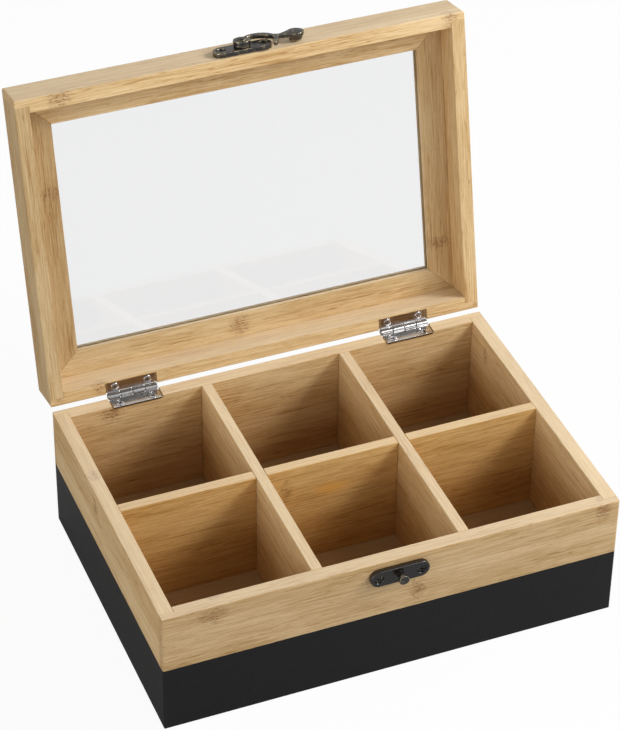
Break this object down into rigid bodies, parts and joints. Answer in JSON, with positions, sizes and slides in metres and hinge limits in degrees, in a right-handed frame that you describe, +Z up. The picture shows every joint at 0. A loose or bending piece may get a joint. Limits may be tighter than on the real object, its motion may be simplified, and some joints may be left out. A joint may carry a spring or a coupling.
{
  "type": "tea bag organizer box",
  "caption": "Bamboo tea bag box with lapped dividers, two butt hinges, a glazed lid that swings open and a hook latch.",
  "frame": {"origin": "middle of the box's underside, on the surface it stands on, below the middle of the compartments", "axes": "+X to the right seen from the front, +Y towards the hinges at the rear, +Z up"},
  "size_m": [0.24, 0.2332, 0.2425],
  "materials": {
    "bamboo": "clear satin lacquer on bamboo",
    "painted_bamboo": "clear satin lacquer above, satin black paint on the lower band",
    "bronze": "blackened antique bronze, satin",
    "nickel": "bright nickel plate",
    "glass": "clear float glass"
  },
  "bodies": {
    "box": {"front_wall": "painted_bamboo", "rear_wall": "painted_bamboo", "left_wall": "painted_bamboo", "right_wall": "painted_bamboo", "floor_panel": "bamboo", "long_divider": "bamboo", "left_cross_divider": "bamboo", "right_cross_divider": "bamboo", "catch_plate": "bronze", "catch_knob": "bronze", "catch_screws": "bronze", "left_hinge_box_leaf": "nickel", "right_hinge_box_leaf": "nickel", "left_hinge_pin": "nickel", "right_hinge_pin": "nickel", "left_box_leaf_screws": "nickel", "right_box_leaf_screws": "nickel"},
    "lid": {"lid_front_rail": "bamboo", "lid_rear_rail": "bamboo", "lid_left_rail": "bamboo", "lid_right_rail": "bamboo", "window_bar_front": "bamboo", "window_bar_rear": "bamboo", "window_bar_left": "bamboo", "window_bar_right": "bamboo", "glass_pane": "glass", "left_hinge_lid_leaf": "nickel", "right_hinge_lid_leaf": "nickel", "left_lid_leaf_screws": "nickel", "right_lid_leaf_screws": "nickel", "hook_plate": "bronze", "hook_plate_screws": "bronze", "hook_rivet": "bronze"},
    "hook": {"latch_hook": "bronze"}
  },
  "joints": [
    {"name": "lid_hinge", "type": "hinge", "parent": "box", "child": "lid", "pos_m": [0, 0.08495, 0.07165], "axis": [1, 0, 0], "range_deg": [0, 102.2]},
    {"name": "hook_turn", "type": "hinge", "parent": "lid", "child": "hook", "pos_m": [0.0011, 0.12671, 0.23522], "axis": [0, -0.2113, -0.9774], "range_deg": [0, 90]}
  ]
}
